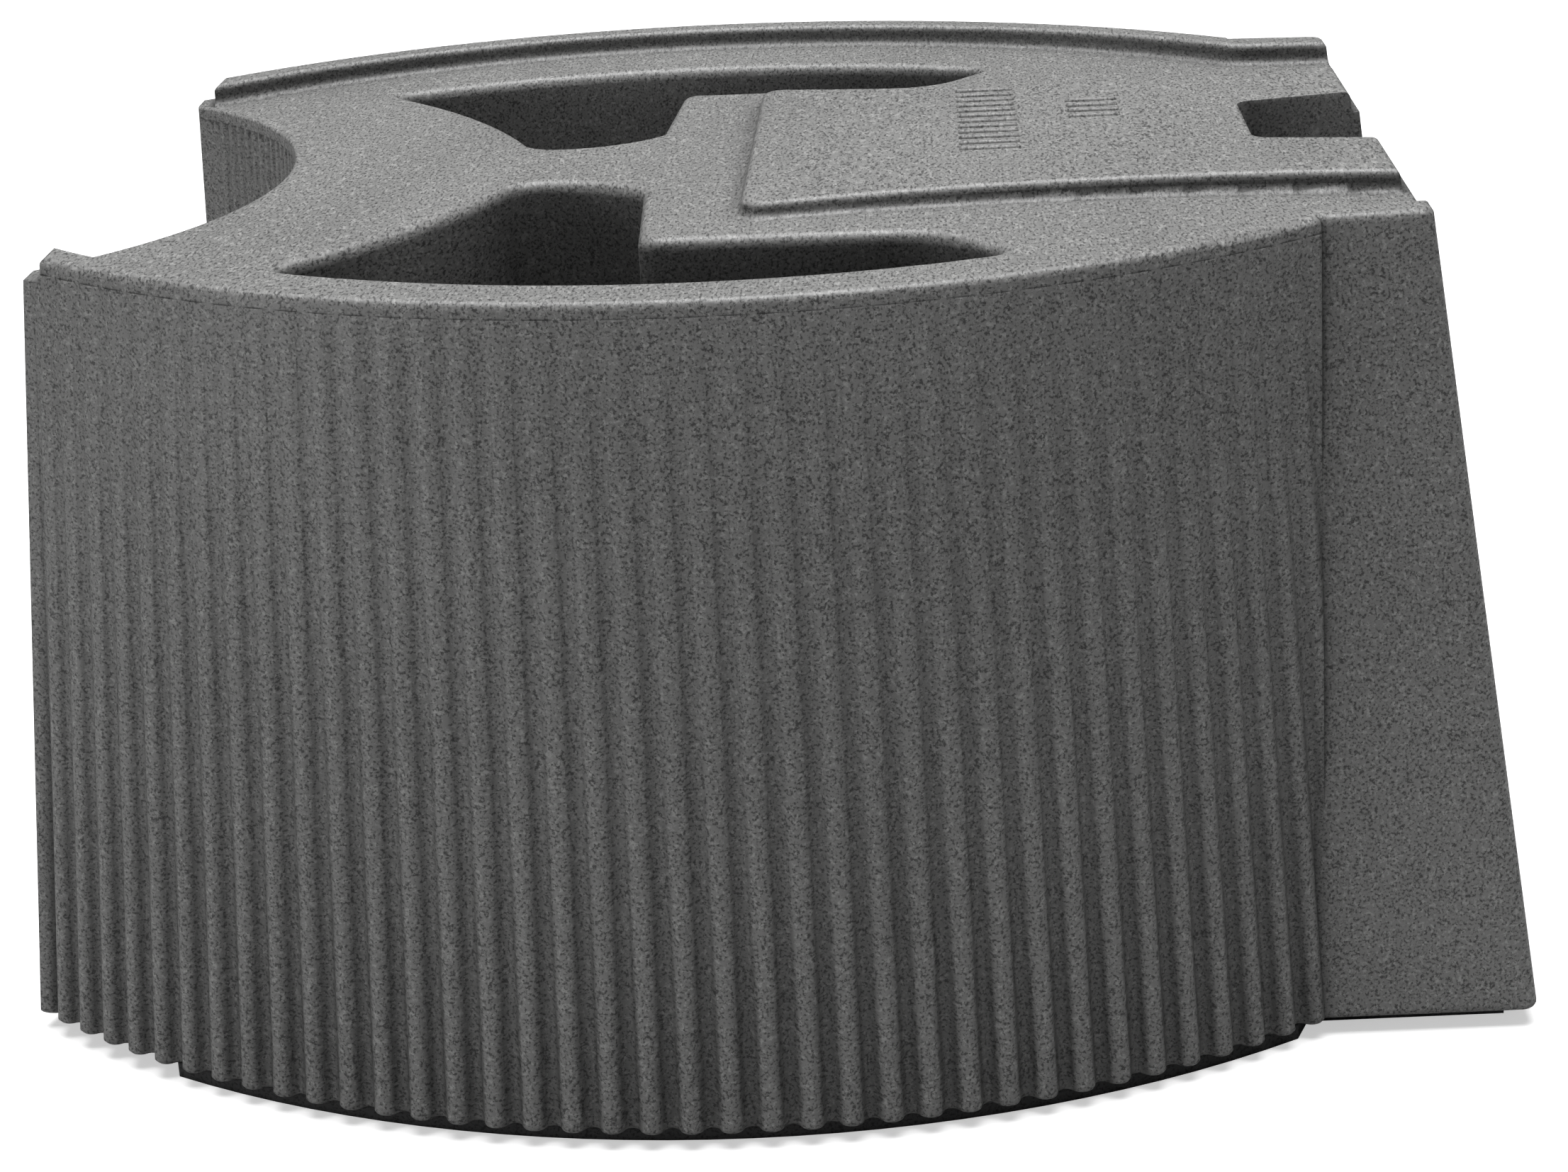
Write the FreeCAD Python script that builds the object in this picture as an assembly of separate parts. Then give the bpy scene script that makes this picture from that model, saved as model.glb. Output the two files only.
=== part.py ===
import FreeCAD, Part
import math
import os

V = FreeCAD.Vector

# Heights above the floor (mm)
SOLE_T = 1.2            # sole pad thickness
MAIN_Z = 57.2           # broad top face
RIM_Z = 59.0            # top of the edge rims
BAND_Z = 57.9           # flank ribs stop here, a plain band runs on to the rim top
PLATE_Z0 = 58.4         # raised plate, low (inner) end
PLATE_Z1 = 58.9         # raised plate, high (outer) end

# Flanks: two mirrored cones about upright axes at (FLANK_X, -/+FLANK_Y)
FLANK_X = 47.6
FLANK_Y = 18.8
FLANK_R0 = 75.7         # ridge radius at the foot
FLANK_R1 = 68.8         # ridge radius at the rim top
RIB_STEP = math.radians(2.135)
RIBS = 40               # full ribs on each flank
RIB_MID = math.radians(0.34)        # middle groove, from the side direction
TIP_ANG = math.radians(-43.3)      # arm tip, past the last full rib
RIB_D0 = 0.95           # groove depth at the foot
RIB_D1 = 0.12           # groove depth at the top
VALLEY = 0.42           # share of each rib step taken by its valley

# Round notch between the two arms
NOTCH_X = -23.6
NOTCH_R0 = 34.5         # radius at the foot
NOTCH_R1 = 37.3         # radius at the rim top
NOTCH_HALF = math.radians(50.0)
NOTCH_RIB_HALF = math.radians(46.0)
NOTCH_RIBS = 44
NOTCH_D0 = 0.35
NOTCH_D1 = 0.22
NOTCH_BAND_Z = 56.2     # notch ribs stop here, below the top face

# Plain end block behind the ribs
JOIN_X = 92.0           # ribs end on this plane
END_X0, END_X1 = 107.6, 100.0       # end wall at foot and rim top
END_Y0, END_Y1 = 41.6, 32.5         # half width at the end wall
SIDE_Y0, SIDE_Y1 = 42.2, 33.2       # half width at the join
CORNER_R = 1.2

# Rim, plate and slot
RIM_W = 3.0
TIP_X = 1.0             # arm tips at the rim top
TIP_STEP = 0.9          # rims stop short of the tips
PLATE_X = 51.0
PLATE_END = 99.4
PLATE_Y = 21.3          # half width at the inner end
PLATE_MID = (78.0, 18.0)            # hollow of its long edges
PLATE_Y1 = 20.6         # half width at the outer end
SLOT_X = 90.0
SLOT_Y0, SLOT_Y1 = 6.7, 8.6         # half width inside and at the mouth
SLOT_FLARE = 1.3

# Pockets
POCKET_R = 56.5         # outer wall, about the flank axis
POCKET_TIP = (17.6, 30.5)
POCKET_BEND = (27.2, 18.4)
POCKET_SHOULDER = (32.8, 6.4)
POCKET_WAIST = (37.6, 6.5)
POCKET_NOSE = (43.0, 10.2)
POCKET_STEP = (43.8, 26.0)
POCKET_RUN = (65.4, 26.0)
POCKET_END_X = 70.6
POCKET_FLOOR = 6.0
POCKET_SHRINK = 0.93    # floor outline against the outline at the top face
POCKET_CENTRE = (47.0, 25.0)
LIP_R = 0.9             # round lip of each pocket

# Small rounds
EDGE_R = 0.55           # rim tops
NOTCH_EDGE_R = 0.2      # top edge of the notch
RIM_FOOT_R = 0.8
RIM_ARCS = 14           # short arcs that make up each rim's inner side
RIM_BEND_R = 4.0
PLATE_R = 0.6
PLATE_CORNER_R = 1.8    # inner corners of the plate
PLATE_FOOT_R = 0.7
FOOT_R = 0.5            # lower edge of the end block
FOOT_BEVEL = 0.25       # lower edge of the ribs

# Sole pad
SOLE_INSET = 2.2        # at the end block, the notch and the slot
SOLE_R = 77.5           # long sides, a rounder arc than the ribs
SOLE_AXIS = (47.5, 22.2)
SOLE_X = (8.0, 90.0)    # reach of the long sides
FOOT_Z = SOLE_T


def blend(a, b, z):
    """Value at height z between a at the foot and b at the rim top."""
    return a + (b - a) * (z - FOOT_Z) / (RIM_Z - FOOT_Z)


def line(a, b):
    return Part.makeLine(a, b)


def arc(a, m, b):
    return Part.Arc(a, m, b).toShape()


def flank_point(ang, r, z, side):
    """Point on a flank; ang is measured from the side direction towards +X."""
    return V(FLANK_X + r * math.sin(ang), side * (r * math.cos(ang) - FLANK_Y), z)


def notch_point(ang, r, z):
    return V(NOTCH_X + r * math.cos(ang), r * math.sin(ang), z)


def ribbed(point, r, depth, a0, a1, count, valley):
    """Row of round ridges from angle a0 to a1, with round valleys that take their share."""
    step = (a1 - a0) / count
    side, low = valley * step / 2, r - depth * (1 - valley)
    edges, last = [], point(a0, r - depth)
    for i in range(count):
        a = a0 + i * step
        rise, crest, fall = point(a + side, low), point(a + step / 2, r), point(a + step - side, low)
        edges.append(arc(last, point(a, r - depth), rise) if i else line(last, rise))
        edges.append(arc(rise, crest, fall))
        last = fall
    return edges + [line(last, point(a1, r - depth))]


def outline(z, depth, notch_depth, inset=0.0):
    """Fish-shaped outline at height z, from one flank round the notch to the other.

    A depth of None draws that side as one plain arc on the floor of its grooves.
    """
    r = blend(FLANK_R0, FLANK_R1, z) - inset
    rn = blend(NOTCH_R0, NOTCH_R1, z) + inset
    a0, a1 = RIB_MID - RIB_STEP * RIBS / 2, RIB_MID + RIB_STEP * RIBS / 2
    part = (a0 - TIP_ANG) / RIB_STEP        # the last rib is cut off at the tip
    half = part / 2
    sides = []
    for side in (1, -1):
        def point(a, q, side=side):
            return flank_point(a, q, z, side)
        if depth is None:
            q, mid = r - RIB_D1, (a1 + TIP_ANG) / 2
            sides.append([arc(point(a1, q), point(mid, q), point(TIP_ANG, q))])
        else:
            cut = [point(a0 - f * RIB_STEP, r - depth * (1 - 2 * f) ** 2) for f in (0, half, part)]
            sides.append(ribbed(point, r, depth, a1, a0, RIBS, VALLEY) + [arc(*cut)])
    in_u, in_l = notch_point(NOTCH_HALF, rn, z), notch_point(-NOTCH_HALF, rn, z)
    if notch_depth is None:
        notch = [arc(in_u, notch_point(0, rn, z), in_l)]
    else:
        # the notch ridges point towards its axis, so their radius falls as they rise
        notch = ribbed(lambda a, q: notch_point(a, 2 * rn - q, z), rn, notch_depth,
                       NOTCH_RIB_HALF, -NOTCH_RIB_HALF, NOTCH_RIBS, VALLEY)
        notch = [line(in_u, notch[0].firstVertex().Point)] + notch
        notch.append(line(notch[-1].lastVertex().Point, in_l))
    tips = [edges[-1].lastVertex().Point for edges in sides]
    roots = [edges[0].firstVertex().Point for edges in sides]
    return Part.Wire(sides[0] + [line(tips[0], in_u)] + notch + [line(in_l, tips[1])]
                     + sides[1][::-1] + [line(roots[1], roots[0])])


def polygon(points, z):
    return Part.makePolygon([V(x, y, z) for x, y in points + points[:1]])


def mirrored(points):
    """Closed symmetric outline from the points of its +Y half."""
    return points + [(x, -y) for x, y in reversed(points)]


def loft(low, high):
    return Part.makeLoft([low, high], True, True)


def end_block(z0, z1):
    """Plain tapered block that carries the end wall, reaching back inside the ribs."""
    def wire(z):
        side, end = blend(SIDE_Y0, SIDE_Y1, z), blend(END_Y0, END_Y1, z)
        x_end = blend(END_X0, END_X1, z)
        slope = (end - side) / (x_end - JOIN_X)
        back = JOIN_X - 12.0
        return polygon(mirrored([(back, side + slope * (back - JOIN_X)), (x_end, end)]), z)
    block = loft(wire(z0), wire(z1))
    corners = [e for e in block.Edges if e.BoundBox.ZLength > 1.0
               and e.CenterOfMass.x > JOIN_X]
    block = block.makeFillet(CORNER_R, corners)
    foot = [e for e in block.Edges if e.BoundBox.ZMax < z0 + 0.01 and e.BoundBox.XMax > JOIN_X]
    return block.makeFillet(FOOT_R, foot)


def trough():
    """What is cleared between the two rims down to the broad top face."""
    z, top = MAIN_Z, RIM_Z + 1.0
    r = FLANK_R1 - RIM_W
    x1, y1 = JOIN_X, SIDE_Y1 - RIM_W
    far = END_X0 + 2.0
    y2 = y1 + (END_Y1 - SIDE_Y1) * (far - x1) / (END_X1 - x1)
    start, end = math.asin((x1 - FLANK_X) / r), -math.asin((FLANK_X + 6.0) / r)
    sides = []
    for side in (1, -1):
        p = [flank_point(start + (end - start) * i / (2 * RIM_ARCS), r, z, side)
             for i in range(2 * RIM_ARCS + 1)]
        sides.append([arc(*p[i:i + 3]) for i in range(0, 2 * RIM_ARCS, 2)])
    (ua, ub), (la, lb) = [(arcs[0].firstVertex().Point, arcs[-1].lastVertex().Point)
                          for arcs in sides]
    ends = [V(far, side * y2, z) for side in (1, -1)]
    wire = Part.Wire([line(ends[0], ua)] + sides[0] + [line(ub, lb)] + sides[1][::-1]
                     + [line(la, ends[1]), line(ends[1], ends[0])])
    hole = Part.Face(wire).extrude(V(0, 0, top - z))
    bends = [e for e in hole.Edges if e.BoundBox.ZLength > 1.0
             and abs(e.CenterOfMass.x - x1) < 0.5]
    hole = hole.makeFillet(RIM_BEND_R, bends)
    foot = [e for e in hole.Edges if e.BoundBox.ZMax < z + 0.01 and e.BoundBox.XMax > 5.0
            and abs(e.CenterOfMass.y) > 20.0]
    hole = hole.makeFillet(RIM_FOOT_R, foot)
    tips = Part.makeBox(12.0, 90.0, top - z, V(TIP_X + TIP_STEP - 12.0, -45.0, z))
    return hole.fuse(tips)


def plate():
    """Raised plate with hollow long edges; its top climbs gently towards the end wall."""
    far = END_X0
    end_u, end_l = V(far, PLATE_Y1 + 0.6, 0), V(far, -PLATE_Y1 - 0.6, 0)
    in_u, in_l = V(PLATE_X, PLATE_Y, 0), V(PLATE_X, -PLATE_Y, 0)
    mid_u, mid_l = V(*PLATE_MID, 0), V(PLATE_MID[0], -PLATE_MID[1], 0)
    wire = Part.Wire([arc(end_u, mid_u, in_u), line(in_u, in_l), arc(in_l, mid_l, end_l),
                      line(end_l, end_u)])
    slab = Part.Face(wire).extrude(V(0, 0, RIM_Z + 5))
    slope = (END_X0 - END_X1) / (RIM_Z - FOOT_Z)
    z0, zx = MAIN_Z - 1.0, PLATE_Z1
    profile = [(PLATE_X - 1, z0), (PLATE_END + slope * (zx - z0), z0), (PLATE_END, zx),
               (PLATE_X - 1, PLATE_Z0)]
    side = Part.makePolygon([V(x, -50, z) for x, z in profile + profile[:1]])
    slab = slab.common(Part.Face(side).extrude(V(0, 100, 0)))
    corners = [e for e in slab.Edges if e.BoundBox.XMax < PLATE_X + 0.1
               and abs(e.CenterOfMass.y) > PLATE_Y - 0.1]
    slab = slab.makeFillet(PLATE_CORNER_R, corners)
    return slab.makeFillet(PLATE_R, [e for e in slab.Edges if e.BoundBox.ZMin > MAIN_Z])


def pocket(side):
    """Deep pocket with round corners; its walls close in slightly towards the floor."""
    def at(p):
        return V(p[0], p[1], 0)
    def on_wall(x):
        return V(x, math.sqrt(POCKET_R ** 2 - (x - FLANK_X) ** 2) - FLANK_Y, 0)
    end = on_wall(POCKET_END_X)
    edges = [arc(at(POCKET_TIP), at(POCKET_BEND), at(POCKET_SHOULDER)),
             arc(at(POCKET_SHOULDER), at(POCKET_WAIST), at(POCKET_NOSE)),
             line(at(POCKET_NOSE), at(POCKET_STEP)), line(at(POCKET_STEP), at(POCKET_RUN)),
             line(at(POCKET_RUN), end), arc(end, on_wall(FLANK_X), at(POCKET_TIP))]
    block = Part.Face(Part.Wire(edges)).extrude(V(0, 0, 1))
    radii = ((POCKET_TIP, 1.2), (POCKET_SHOULDER, 3.0), (POCKET_NOSE, 2.5),
             (POCKET_STEP, 1.5), (POCKET_RUN, 6.0), ((end.x, end.y), 1.2))
    for (x, y), radius in radii:
        near = [e for e in block.Edges if abs(e.CenterOfMass.z - 0.5) < 1e-6
                and math.hypot(e.CenterOfMass.x - x, e.CenterOfMass.y - y) < 0.05]
        block = block.makeFillet(radius, near)
    rim = [f for f in block.Faces if f.CenterOfMass.z > 0.999][0].OuterWire
    high = rim.translated(V(0, 0, MAIN_Z - 1))
    low = rim.translated(V(0, 0, POCKET_FLOOR - 1))
    low.scale(POCKET_SHRINK, V(*POCKET_CENTRE, POCKET_FLOOR))
    hole = loft(low, high).fuse(Part.Face(high).extrude(V(0, 0, 4.0)))
    return hole if side > 0 else hole.mirror(V(0, 0, 0), V(0, 1, 0))


def pocket_lip(edge):
    """True for an edge of the top face that runs round a pocket."""
    box = edge.BoundBox
    return (abs(box.ZMin - MAIN_Z) < 1e-3 and abs(box.ZMax - MAIN_Z) < 1e-3
            and box.XMin > POCKET_TIP[0] - 2.0 and box.XMax < POCKET_END_X + 1.0
            and min(abs(box.YMin), abs(box.YMax)) > 5.0
            and max(abs(box.YMin), abs(box.YMax)) < POCKET_R - FLANK_Y + 1.0
            and not (box.XMin > PLATE_X - 1.0 and abs(edge.CenterOfMass.y) < PLATE_Y + 1.5)
            and abs(box.XMin - PLATE_X) > 0.01)


def slot():
    """Open slot through the end wall, a little wider at the mouth."""
    z0, z1 = -1.0, RIM_Z + 1.0
    mouth = END_X1 - 0.6
    half = [(SLOT_X, SLOT_Y0), (mouth, SLOT_Y1), (END_X0 + 3.0, SLOT_Y1 + SLOT_FLARE)]
    block = Part.Face(polygon(mirrored(half), z0)).extrude(V(0, 0, z1 - z0))
    inner = [e for e in block.Edges if abs(e.tangentAt(e.FirstParameter).z) > 0.9
             and e.CenterOfMass.x < SLOT_X + 0.1]
    return block.makeFillet(1.5, inner)


def level_edges(shape, z, test):
    """Edges that lie in the plane at height z and pass the test."""
    return [e for e in shape.Edges if abs(e.BoundBox.ZMin - z) < 1e-3
            and abs(e.BoundBox.ZMax - z) < 1e-3 and test(e.BoundBox, e.CenterOfMass)]


def ribbed_block():
    """Ribbed stack with a small bevel at the foot and plain bands above the ribs."""
    def depth(z):
        return RIB_D0 + (RIB_D1 - RIB_D0) * (z - FOOT_Z) / (BAND_Z - FOOT_Z)
    z1, z2 = FOOT_Z + FOOT_BEVEL, NOTCH_BAND_Z
    stack = [loft(outline(FOOT_Z, depth(z1), NOTCH_D0, FOOT_BEVEL),
                  outline(z1, depth(z1), NOTCH_D0)),
             loft(outline(z1, depth(z1), NOTCH_D0), outline(z2, depth(z2), NOTCH_D1)),
             loft(outline(z2, depth(z2), None), outline(BAND_Z, RIB_D1, None)),
             loft(outline(BAND_Z, None, None), outline(RIM_Z, None, None))]
    front = Part.makeBox(200, 200, 80, V(JOIN_X - 200, -100, -5))
    return stack[0].fuse(stack[1:]).common(front)


def wedge_body():
    body = ribbed_block().fuse(end_block(FOOT_Z, RIM_Z)).cut(trough()).fuse(plate())
    body = body.makeFillet(PLATE_FOOT_R, level_edges(
        body, MAIN_Z, lambda box, c: PLATE_X - 0.5 < c.x < PLATE_END - 1.0
        and abs(c.y) < PLATE_Y + 0.6 and box.XMin > PLATE_X - 0.5))
    for side in (1, -1):
        body = body.cut(pocket(side))
    body = body.removeSplitter()
    body = body.makeFillet(LIP_R, [e for e in body.Edges if pocket_lip(e)])
    body = body.cut(slot())
    body = body.makeFillet(EDGE_R, level_edges(body, RIM_Z, lambda box, c: True))
    return body.makeFillet(NOTCH_EDGE_R, level_edges(
        body, MAIN_Z, lambda box, c: box.YLength > 40.0 and box.XMax < POCKET_TIP[0]))


def sole_pad():
    """Thin smooth pad under the body, set in from its foot; it leaves the arm tips bare."""
    x0, x1 = SOLE_X
    xc, yc = SOLE_AXIS

    def on_side(x, side):
        return V(x, side * (math.sqrt(SOLE_R ** 2 - (x - xc) ** 2) - yc), 0)

    rn = NOTCH_R0 + SOLE_INSET
    yn = math.sqrt(rn ** 2 - (x0 - NOTCH_X) ** 2)
    eu, el = [V(END_X0 - SOLE_INSET, side * (END_Y0 - SOLE_INSET), 0) for side in (1, -1)]
    ju, jl = [V(x1 + 1.0, side * (SIDE_Y0 - SOLE_INSET), 0) for side in (1, -1)]
    nu, nm, nl = V(x0, yn, 0), V(NOTCH_X + rn, 0, 0), V(x0, -yn, 0)
    wire = Part.Wire([line(eu, ju), line(ju, on_side(x1, 1)),
                      arc(on_side(x1, 1), on_side(xc, 1), on_side(x0, 1)),
                      line(on_side(x0, 1), nu), arc(nu, nm, nl), line(nl, on_side(x0, -1)),
                      arc(on_side(x0, -1), on_side(xc, -1), on_side(x1, -1)),
                      line(on_side(x1, -1), jl), line(jl, el), line(el, eu)])
    pad = Part.Face(wire).extrude(V(0, 0, SOLE_T))
    gap = Part.makeBox(60.0, 2 * (SLOT_Y1 + SOLE_INSET), 3.0,
                       V(SLOT_X - SOLE_INSET, -SLOT_Y1 - SOLE_INSET, -1.0))
    return pad.cut(gap)


# The origin goes on the floor, midway between the arm tips' feet and the end wall's foot
body = wedge_body()
xs = [v.X for v in body.Vertexes]
shift = V(-(min(xs) + max(xs)) / 2, 0, 0)
os.makedirs("parts", exist_ok=True)
for name, shape in (("wedge_body", body), ("sole_pad", sole_pad())):
    shape.translated(shift).exportStep("parts/%s.step" % name)
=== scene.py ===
import math

import bpy
from bpy.props import FloatProperty, FloatVectorProperty, IntProperty, PointerProperty
from mathutils import Matrix, Vector


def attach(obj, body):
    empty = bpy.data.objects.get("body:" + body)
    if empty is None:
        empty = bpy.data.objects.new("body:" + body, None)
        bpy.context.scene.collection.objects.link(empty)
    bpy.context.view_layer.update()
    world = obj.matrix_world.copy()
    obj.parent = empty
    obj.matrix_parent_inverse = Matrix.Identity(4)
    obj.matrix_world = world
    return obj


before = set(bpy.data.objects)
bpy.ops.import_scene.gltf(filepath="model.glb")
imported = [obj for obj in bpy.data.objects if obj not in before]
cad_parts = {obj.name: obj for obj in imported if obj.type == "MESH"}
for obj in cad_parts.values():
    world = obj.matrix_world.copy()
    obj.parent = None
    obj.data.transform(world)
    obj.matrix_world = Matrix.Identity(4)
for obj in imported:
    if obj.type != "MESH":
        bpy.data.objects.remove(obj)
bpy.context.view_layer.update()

bl_info = {
    "name": "Door Wedge",
    "version": (1, 0, 0),
    "blender": (4, 5, 0),
    "location": "View3D > Sidebar > Door Wedge",
    "description": "Finishes and studio stage for a ribbed door wedge",
    "category": "Object",
}

# Lengths are in metres, angles in degrees and powers in watts. A ramp is two stops, each a
# (position, value).

# Flecks: the dark ones are fine, the light ones a little larger, and both are drawn out in Y.
# The shift keeps the light ones from lying where the dark ones do.
FLECK_STRETCH = (1.0, 0.36, 1.0)
LIGHT_FLECK_SCALE = 0.6
LIGHT_FLECK_SHIFT = (0.31, 0.17, 0.53)
DARK_FLECK_RAMP = ((0.36, 1.0), (0.50, 0.0))
LIGHT_FLECK_RAMP = ((0.52, 0.0), (0.66, 1.0))
DARK_FLECK_SHARE = 0.85
LIGHT_FLECK_SHARE = 0.5
DARK_FLECK_RELIEF = 0.7
LIGHT_FLECK_RELIEF = 0.5
FLECK_BUMP = 0.5

# Clouds: slow changes of tone and gloss over the whole surface.
CLOUD_SCALE = 90.0
CLOUD_RAMP = ((0.3, 0.93), (0.7, 1.05))
CLOUD_GLOSS = 0.12

# Painted shade, darkening the colour where nearby surface hides it: (reach, samples, power,
# ramp) for pockets and corners, then for fine valleys.
WIDE_PAINTED_SHADE = (0.018, 8, 2.3, ((0.0, 0.2), (0.9, 1.0)))
NARROW_PAINTED_SHADE = (0.0013, 6, 1.6, ((0.2, 0.36), (0.88, 1.0)))

# Edges are rounded a little further in shading than they are in shape.
SOFT_EDGE_RADIUS = 0.0005
SOFT_EDGE_SAMPLES = 6

MOULDING_RELIEF = 0.00003
MOULDING_ROUGHNESS = 0.42
SPECULAR_LEVEL = 0.4
SOLE_RELIEF = 0.00005
SOLE_ROUGHNESS = 0.8
SOLE_DARK_FLECK = (0.012, 0.012, 0.012)
SOLE_LIGHT_FLECK = (0.06, 0.06, 0.06)

# Strokes: the rounding is a share of the stroke's width.
STROKE_ROUND = 0.3
STROKE_SEGMENTS = 3
STROKE_SMOOTH_ANGLE = 40

FLOOR_WIDTH = 6.0
FLOOR_ROUGHNESS = 0.9
WORLD_FILL = 0.1
WORLD_EXTRA_WHEN_SEEN = 0.95

# Lights: the top one's power is a setting of the stage.
TOP_LIGHT = {"place": (0.0, 0.05, 0.75), "target": (0.0, 0.0, 0.03), "size": (0.7, 0.6)}
GLINT_LIGHT = {"place": (0.02, 0.12, 0.6), "target": (0.0, 0.0, 0.03), "size": (0.05, 0.05),
               "power": 0.9}
LEFT_LIGHT = {"place": (-0.7, -0.45, 0.12), "target": (0.0, 0.0, 0.02), "size": (0.2, 0.2),
              "power": 0.95}

CAMERA_PLACE = (0.01344, -0.25037, 0.11294)
CAMERA_PITCH = 20.21
CAMERA_YAW = -3.015
CAMERA_ROLL = -2.751
CAMERA_SENSOR_WIDTH = 36.0      # millimetres, as the lens is
CAMERA_CLIP_START = 0.01

BLACK = (0.0, 0.0, 0.0)
WHITE = (1.0, 1.0, 1.0)


class WedgeFinish(bpy.types.PropertyGroup):
    body_colour: FloatVectorProperty(
        name="Body colour", description="Ground colour of the moulding",
        subtype="COLOR", size=3, min=0.0, max=1.0, default=(0.248, 0.248, 0.244))
    dark_fleck: FloatVectorProperty(
        name="Dark fleck", description="Colour of the dark flecks",
        subtype="COLOR", size=3, min=0.0, max=1.0, default=(0.04, 0.04, 0.04))
    light_fleck: FloatVectorProperty(
        name="Light fleck", description="Colour of the light flecks",
        subtype="COLOR", size=3, min=0.0, max=1.0, default=(0.52, 0.52, 0.51))
    fleck_size: FloatProperty(
        name="Fleck size", description="Typical width of one fleck",
        subtype="DISTANCE", unit="LENGTH", min=0.00002, max=0.002, default=0.0002)
    # the sole's dark colour is partly its rubber and partly painted contact shadow below the
    # ribs
    sole_and_shadow_colour: FloatVectorProperty(
        name="Sole and shadow colour", description="Colour of the thin pad underneath",
        subtype="COLOR", size=3, min=0.0, max=1.0, default=(0.055, 0.055, 0.056))


class WedgeMarks(bpy.types.PropertyGroup):
    long_x: FloatProperty(
        name="Long X", description="Inner end of the long strokes",
        subtype="DISTANCE", unit="LENGTH", default=0.0158)
    long_y: FloatProperty(
        name="Long Y", description="First long stroke",
        subtype="DISTANCE", unit="LENGTH", default=-0.0062)
    long_length: FloatProperty(
        name="Long length", description="Length of a long stroke",
        subtype="DISTANCE", unit="LENGTH", default=0.0048)
    long_top: FloatProperty(
        name="Long top", description="Height of the long strokes' tops above the floor",
        subtype="DISTANCE", unit="LENGTH", default=0.05883)
    long_count: IntProperty(
        name="Long strokes", description="Number of long strokes", min=1, default=12)
    short_x: FloatProperty(
        name="Short X", description="Inner end of the short strokes",
        subtype="DISTANCE", unit="LENGTH", default=0.0247)
    short_y: FloatProperty(
        name="Short Y", description="First short stroke",
        subtype="DISTANCE", unit="LENGTH", default=0.0040)
    short_length: FloatProperty(
        name="Short length", description="Length of a short stroke",
        subtype="DISTANCE", unit="LENGTH", default=0.0042)
    short_top: FloatProperty(
        name="Short top", description="Height of the short strokes' tops above the floor",
        subtype="DISTANCE", unit="LENGTH", default=0.05892)
    short_count: IntProperty(
        name="Short strokes", description="Number of short strokes", min=1, default=4)
    step: FloatProperty(
        name="Stroke step", description="Distance from stroke to stroke",
        subtype="DISTANCE", unit="LENGTH", default=0.0020)
    width: FloatProperty(
        name="Stroke width", description="Width of one stroke",
        subtype="DISTANCE", unit="LENGTH", default=0.0007)
    height: FloatProperty(
        name="Stroke height", description="Height of one stroke, mostly sunk in the plate",
        subtype="DISTANCE", unit="LENGTH", default=0.0008)


class WedgeStage(bpy.types.PropertyGroup):
    floor_colour: FloatVectorProperty(
        name="Floor colour", description="Plain floor under the wedge",
        subtype="COLOR", size=3, min=0.0, max=1.0, default=(0.93, 0.93, 0.93))
    bounce_colour: FloatVectorProperty(
        name="Bounce colour", description="How much light the floor throws back up",
        subtype="COLOR", size=3, min=0.0, max=1.0, default=(0.37, 0.37, 0.37))
    haze_colour: FloatVectorProperty(
        name="Haze colour", description="Lifts the far floor towards the backdrop",
        subtype="COLOR", size=3, min=0.0, max=1.0, default=(0.5, 0.5, 0.5))
    key_power: FloatProperty(
        name="Top light", description="Power of the large light above",
        unit="POWER", min=0.0, default=8.3)
    lens: FloatProperty(
        name="Lens", description="Focal length of the camera",
        unit="CAMERA", min=10.0, max=300.0, default=73.25)


def new_material(name):
    material = bpy.data.materials.new(name)
    material.use_nodes = True
    material.node_tree.nodes.clear()
    return material


class Nodes:
    """Small helper that adds nodes to a tree and joins them."""

    SPACING = 180

    def __init__(self, tree):
        self.tree = tree
        self.x = 0

    def feed(self, socket, value):
        if isinstance(value, bpy.types.NodeSocket):
            self.tree.links.new(value, socket)
        else:
            socket.default_value = value

    def add(self, kind, inputs=None, **settings):
        node = self.tree.nodes.new(kind)
        node.location = (self.x, 0)
        self.x += self.SPACING
        for key, value in settings.items():
            setattr(node, key, value)
        for key, value in (inputs or {}).items():
            self.feed(node.inputs[key], value)
        return node

    def ramp(self, factor, stops):
        node = self.add("ShaderNodeValToRGB", {"Fac": factor})
        for element, (position, value) in zip(node.color_ramp.elements, stops):
            element.position = position
            element.color = (value, value, value, 1.0)
        return node.outputs["Color"]

    def math(self, operation, *values):
        node = self.add("ShaderNodeMath", operation=operation)
        for socket, value in zip(node.inputs, values):
            self.feed(socket, value)
        return node.outputs["Value"]

    def mix(self, factor, a, b, blend="MIX"):
        node = self.add("ShaderNodeMix", data_type="RGBA", blend_type=blend)
        factor_socket, colour_a, colour_b = node.inputs[0], node.inputs[6], node.inputs[7]
        for socket, value in ((factor_socket, factor), (colour_a, a), (colour_b, b)):
            self.feed(socket, value)
        return node.outputs[2]

    def noise(self, place, scale, detail, roughness):
        node = self.add("ShaderNodeTexNoise", {
            "Vector": place, "Scale": scale, "Detail": detail, "Roughness": roughness})
        return node.outputs["Fac"]

    def surface(self, shader):
        out = self.add("ShaderNodeOutputMaterial")
        self.tree.links.new(shader.outputs["BSDF"], out.inputs["Surface"])


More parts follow.
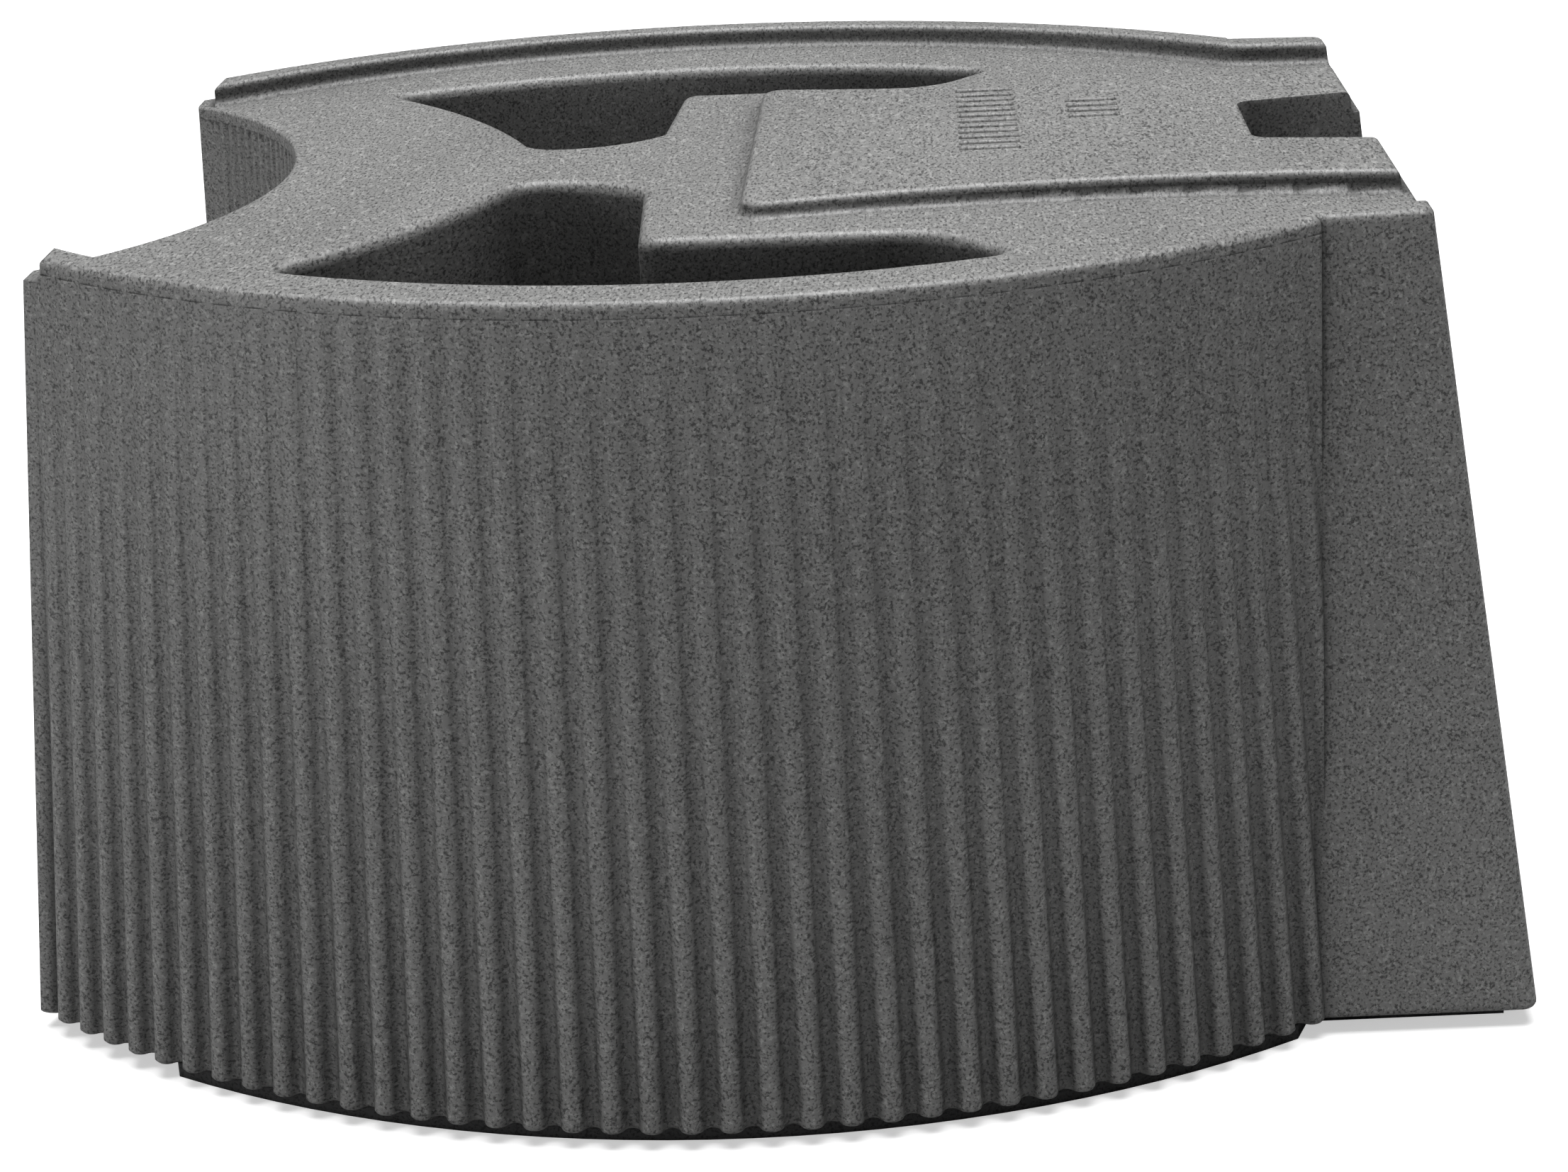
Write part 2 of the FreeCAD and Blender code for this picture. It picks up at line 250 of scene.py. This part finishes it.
def fleck_group():
    """Mottled pattern: dark and light flecks, clouds, and the flecks' fine relief."""
    name = "Moulded flecks"
    if name in bpy.data.node_groups:
        return bpy.data.node_groups[name]
    group = bpy.data.node_groups.new(name, "ShaderNodeTree")
    sockets = group.interface
    for label, kind in (("Vector", "NodeSocketVector"), ("Scale", "NodeSocketFloat")):
        sockets.new_socket(label, in_out="INPUT", socket_type=kind)
    for label in ("Dark", "Light", "Cloud", "Relief"):
        sockets.new_socket(label, in_out="OUTPUT", socket_type="NodeSocketFloat")
    nodes = Nodes(group)
    inside = nodes.add("NodeGroupInput")
    outside = nodes.add("NodeGroupOutput")
    place = inside.outputs["Vector"]
    scale = inside.outputs["Scale"]
    coarse = nodes.math("MULTIPLY", scale, LIGHT_FLECK_SCALE)
    fine_noise = nodes.noise(place, scale, detail=2.0, roughness=0.6)
    shifted = nodes.add("ShaderNodeVectorMath", {0: place, 1: LIGHT_FLECK_SHIFT},
                        operation="ADD").outputs["Vector"]
    coarse_noise = nodes.noise(shifted, coarse, detail=2.5, roughness=0.65)
    dark = nodes.ramp(fine_noise, DARK_FLECK_RAMP)
    light = nodes.ramp(coarse_noise, LIGHT_FLECK_RAMP)
    cloud = nodes.noise(place, CLOUD_SCALE, detail=3.0, roughness=0.55)
    relief = nodes.math("ADD", nodes.math("MULTIPLY", fine_noise, DARK_FLECK_RELIEF),
                        nodes.math("MULTIPLY", coarse_noise, LIGHT_FLECK_RELIEF))
    results = (("Dark", dark), ("Light", light), ("Cloud", cloud), ("Relief", relief))
    for label, value in results:
        group.links.new(value, outside.inputs[label])
    return group


def with_painted_shade(nodes, base, shade_setting):
    """Paint shade into the colour: darken it where the surface nearby hides it from the open.
    """
    reach, samples, power, stops = shade_setting
    hidden = nodes.add("ShaderNodeAmbientOcclusion", {"Distance": reach},
                       samples=samples, only_local=True)
    shade_factor = nodes.ramp(nodes.math("POWER", hidden.outputs["AO"], power), stops)
    return nodes.mix(1.0, base, shade_factor, "MULTIPLY")


def moulded_material(name, ground, dark, light, size, relief, roughness):
    """Matt moulding compound with flecks in colour, gloss and relief, and painted shade in its
    hollows.
    """
    material = new_material(name)
    nodes = Nodes(material.node_tree)
    place = nodes.add("ShaderNodeTexCoord").outputs["Object"]
    place = nodes.add("ShaderNodeMapping", {
        "Vector": place, "Scale": FLECK_STRETCH}).outputs["Vector"]
    flecks = nodes.add("ShaderNodeGroup", node_tree=fleck_group())
    nodes.feed(flecks.inputs["Vector"], place)
    nodes.feed(flecks.inputs["Scale"], 1.0 / size)
    cloud = nodes.ramp(flecks.outputs["Cloud"], CLOUD_RAMP)
    base = nodes.mix(1.0, (*ground, 1.0), cloud, "MULTIPLY")
    light_mask = nodes.math("MULTIPLY", flecks.outputs["Light"], LIGHT_FLECK_SHARE)
    base = nodes.mix(light_mask, base, (*light, 1.0))
    dark_mask = nodes.math("MULTIPLY", flecks.outputs["Dark"], DARK_FLECK_SHARE)
    base = nodes.mix(dark_mask, base, (*dark, 1.0))
    # painted shade in the pockets and corners, then in the rib valleys
    base = with_painted_shade(nodes, base, WIDE_PAINTED_SHADE)
    base = with_painted_shade(nodes, base, NARROW_PAINTED_SHADE)
    gloss = nodes.math("MULTIPLY", flecks.outputs["Cloud"], CLOUD_GLOSS)
    rough = nodes.math("ADD", gloss, roughness - CLOUD_GLOSS / 2)
    soft = nodes.add("ShaderNodeBevel", {"Radius": SOFT_EDGE_RADIUS}, samples=SOFT_EDGE_SAMPLES)
    bump = nodes.add("ShaderNodeBump", {
        "Height": flecks.outputs["Relief"], "Strength": FLECK_BUMP, "Distance": relief,
        "Normal": soft.outputs["Normal"]})
    shader = nodes.add("ShaderNodeBsdfPrincipled", {
        "Base Color": base, "Roughness": rough, "Normal": bump.outputs["Normal"],
        "Specular IOR Level": SPECULAR_LEVEL})
    nodes.surface(shader)
    return material


def moulding(name, finish):
    """The speckled compound, for the body and for what is raised on it."""
    return moulded_material(name, finish.body_colour, finish.dark_fleck, finish.light_fleck,
                            finish.fleck_size, MOULDING_RELIEF, MOULDING_ROUGHNESS)


def give_material(obj, material):
    for slot in obj.material_slots:
        slot.material = material


class WEDGE_OT_body(bpy.types.Operator):
    """Give the ribbed moulding its speckled finish"""
    bl_idname = "wedge.body"
    bl_label = "Ribbed body"

    def execute(self, context):
        finish = context.scene.wedge_finish
        give_material(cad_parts["wedge_body"], moulding("Speckled moulding", finish))
        return {"FINISHED"}


class WEDGE_OT_marks(bpy.types.Operator):
    """Model the low raised strokes on the plate"""
    bl_idname = "wedge.marks"
    bl_label = "Raised strokes"

    def execute(self, context):
        finish = context.scene.wedge_finish
        marks = context.scene.wedge_marks
        groups = (
            (marks.long_x, marks.long_y, marks.long_length, marks.long_top, marks.long_count),
            (marks.short_x, marks.short_y, marks.short_length, marks.short_top,
             marks.short_count),
        )
        bpy.ops.object.select_all(action="DESELECT")
        bpy.ops.mesh.primitive_cube_add(size=1.0, location=(0.0, 0.0, 0.0))
        bars = context.active_object
        bars.name = "raised_strokes"
        # the first cube is only there to open the mesh that holds the strokes
        bpy.ops.object.mode_set(mode="EDIT")
        bpy.ops.mesh.select_all(action="SELECT")
        bpy.ops.mesh.delete(type="VERT")
        for x, y, length, top, count in groups:
            for index in range(count):
                centre = (x + length / 2, y + index * marks.step, top - marks.height / 2)
                bpy.ops.mesh.select_all(action="DESELECT")
                bpy.ops.mesh.primitive_cube_add(size=1.0, location=centre,
                                                scale=(length, marks.width, marks.height))
        bpy.ops.mesh.select_all(action="SELECT")
        bpy.ops.mesh.bevel(offset=marks.width * STROKE_ROUND, segments=STROKE_SEGMENTS,
                           affect="EDGES")
        bpy.ops.mesh.select_all(action="SELECT")
        bpy.ops.mesh.normals_make_consistent(inside=False)
        bpy.ops.object.mode_set(mode="OBJECT")
        bpy.ops.object.shade_smooth_by_angle(angle=math.radians(STROKE_SMOOTH_ANGLE))
        bars.data.materials.append(moulding("Speckled strokes", finish))
        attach(bars, "root")
        return {"FINISHED"}


class WEDGE_OT_sole(bpy.types.Operator):
    """Give the thin sole its dark finish, partly its rubber and partly painted contact shadow
    below the ribs
    """
    bl_idname = "wedge.sole"
    bl_label = "Sole pad"

    def execute(self, context):
        finish = context.scene.wedge_finish
        # dark sole colour, partly painted contact shadow below the ribs
        material = moulded_material(
            "Dark sole and painted shadow", finish.sole_and_shadow_colour, SOLE_DARK_FLECK, SOLE_LIGHT_FLECK,
            finish.fleck_size, SOLE_RELIEF, SOLE_ROUGHNESS)
        give_material(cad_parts["sole_pad"], material)
        return {"FINISHED"}


def area_light(name, place, target, size, power):
    data = bpy.data.lights.new(name, "AREA")
    data.shape = "RECTANGLE"
    data.size, data.size_y = size
    data.energy = power
    obj = bpy.data.objects.new(name, data)
    bpy.context.collection.objects.link(obj)
    obj.location = place
    obj.rotation_euler = (Vector(target) - Vector(place)).to_track_quat("-Z", "Y").to_euler()
    return obj


def floor_material(stage):
    """Near white to the camera, but darker to the light that bounces off it."""
    material = new_material("Pale floor")
    nodes = Nodes(material.node_tree)
    seen = nodes.add("ShaderNodeLightPath").outputs["Is Camera Ray"]
    tone = nodes.mix(seen, (*stage.bounce_colour, 1.0), (*stage.floor_colour, 1.0))
    haze = nodes.mix(seen, (*BLACK, 1.0), (*stage.haze_colour, 1.0))
    shader = nodes.add("ShaderNodeBsdfPrincipled", {
        "Base Color": tone, "Roughness": FLOOR_ROUGHNESS, "Emission Color": haze,
        "Emission Strength": 1.0})
    nodes.surface(shader)
    return material


def studio_world():
    """White behind the wedge, and only a faint fill on it."""
    world = bpy.data.worlds.new("Studio")
    world.use_nodes = True
    background = world.node_tree.nodes["Background"]
    nodes = Nodes(world.node_tree)
    seen = nodes.add("ShaderNodeLightPath").outputs["Is Camera Ray"]
    strength = nodes.math("MULTIPLY_ADD", seen, WORLD_EXTRA_WHEN_SEEN, WORLD_FILL)
    nodes.feed(background.inputs["Strength"], strength)
    nodes.feed(background.inputs["Color"], (*WHITE, 1.0))
    return world


def camera_turn(pitch, yaw, roll):
    """Rotation of a camera that looks along +Y when all three angles are zero."""
    ahead = Vector((math.sin(yaw) * math.cos(pitch), math.cos(yaw) * math.cos(pitch),
                    -math.sin(pitch)))
    level = Vector((math.cos(yaw), -math.sin(yaw), 0.0))
    above = level.cross(ahead)
    right = math.cos(roll) * level + math.sin(roll) * above
    up = -math.sin(roll) * level + math.cos(roll) * above
    return Matrix((right, up, -ahead)).transposed().to_4x4()


class WEDGE_OT_stage(bpy.types.Operator):
    """Floor, soft lights and camera"""
    bl_idname = "wedge.stage"
    bl_label = "Studio stage"

    def execute(self, context):
        stage = context.scene.wedge_stage
        bpy.ops.object.select_all(action="DESELECT")
        bpy.ops.mesh.primitive_plane_add(size=FLOOR_WIDTH, location=(0.0, 0.0, 0.0))
        floor = context.active_object
        floor.name = "studio_floor"
        floor.data.materials.append(floor_material(stage))

        context.scene.world = studio_world()
        area_light("Top light", power=stage.key_power, **TOP_LIGHT)
        glint = area_light("Glint light", **GLINT_LIGHT)
        # it only adds a sheen, and lights no matt surface
        glint.visible_diffuse = False
        area_light("Left light", **LEFT_LIGHT)

        data = bpy.data.cameras.new("Studio camera")
        data.sensor_width = CAMERA_SENSOR_WIDTH
        data.lens = stage.lens
        data.clip_start = CAMERA_CLIP_START
        camera = bpy.data.objects.new("Studio camera", data)
        context.collection.objects.link(camera)
        turn = camera_turn(*map(math.radians, (CAMERA_PITCH, CAMERA_YAW, CAMERA_ROLL)))
        camera.matrix_world = Matrix.Translation(CAMERA_PLACE) @ turn
        context.scene.camera = camera
        context.scene.view_settings.view_transform = "Standard"
        return {"FINISHED"}


STEPS = (WEDGE_OT_body, WEDGE_OT_marks, WEDGE_OT_sole, WEDGE_OT_stage)


class WEDGE_PT_panel(bpy.types.Panel):
    """Lists the steps and settings of the door wedge"""
    bl_idname = "WEDGE_PT_panel"
    bl_label = "Door Wedge"
    bl_space_type = "VIEW_3D"
    bl_region_type = "UI"
    bl_category = "Door Wedge"

    def draw(self, context):
        scene = context.scene
        for group in (scene.wedge_finish, scene.wedge_marks, scene.wedge_stage):
            for name in group.__annotations__:
                self.layout.prop(group, name)
        for step in STEPS:
            self.layout.operator(step.bl_idname)


CLASSES = (WedgeFinish, WedgeMarks, WedgeStage) + STEPS + (WEDGE_PT_panel,)


def register():
    for cls in CLASSES:
        bpy.utils.register_class(cls)
    bpy.types.Scene.wedge_finish = PointerProperty(type=WedgeFinish)
    bpy.types.Scene.wedge_marks = PointerProperty(type=WedgeMarks)
    bpy.types.Scene.wedge_stage = PointerProperty(type=WedgeStage)


def unregister():
    del bpy.types.Scene.wedge_stage
    del bpy.types.Scene.wedge_marks
    del bpy.types.Scene.wedge_finish
    for cls in reversed(CLASSES):
        bpy.utils.unregister_class(cls)


def main():
    register()
    bpy.ops.wedge.body()
    bpy.ops.wedge.marks()
    bpy.ops.wedge.sole()
    bpy.ops.wedge.stage()


if __name__ == "__main__":
    main()
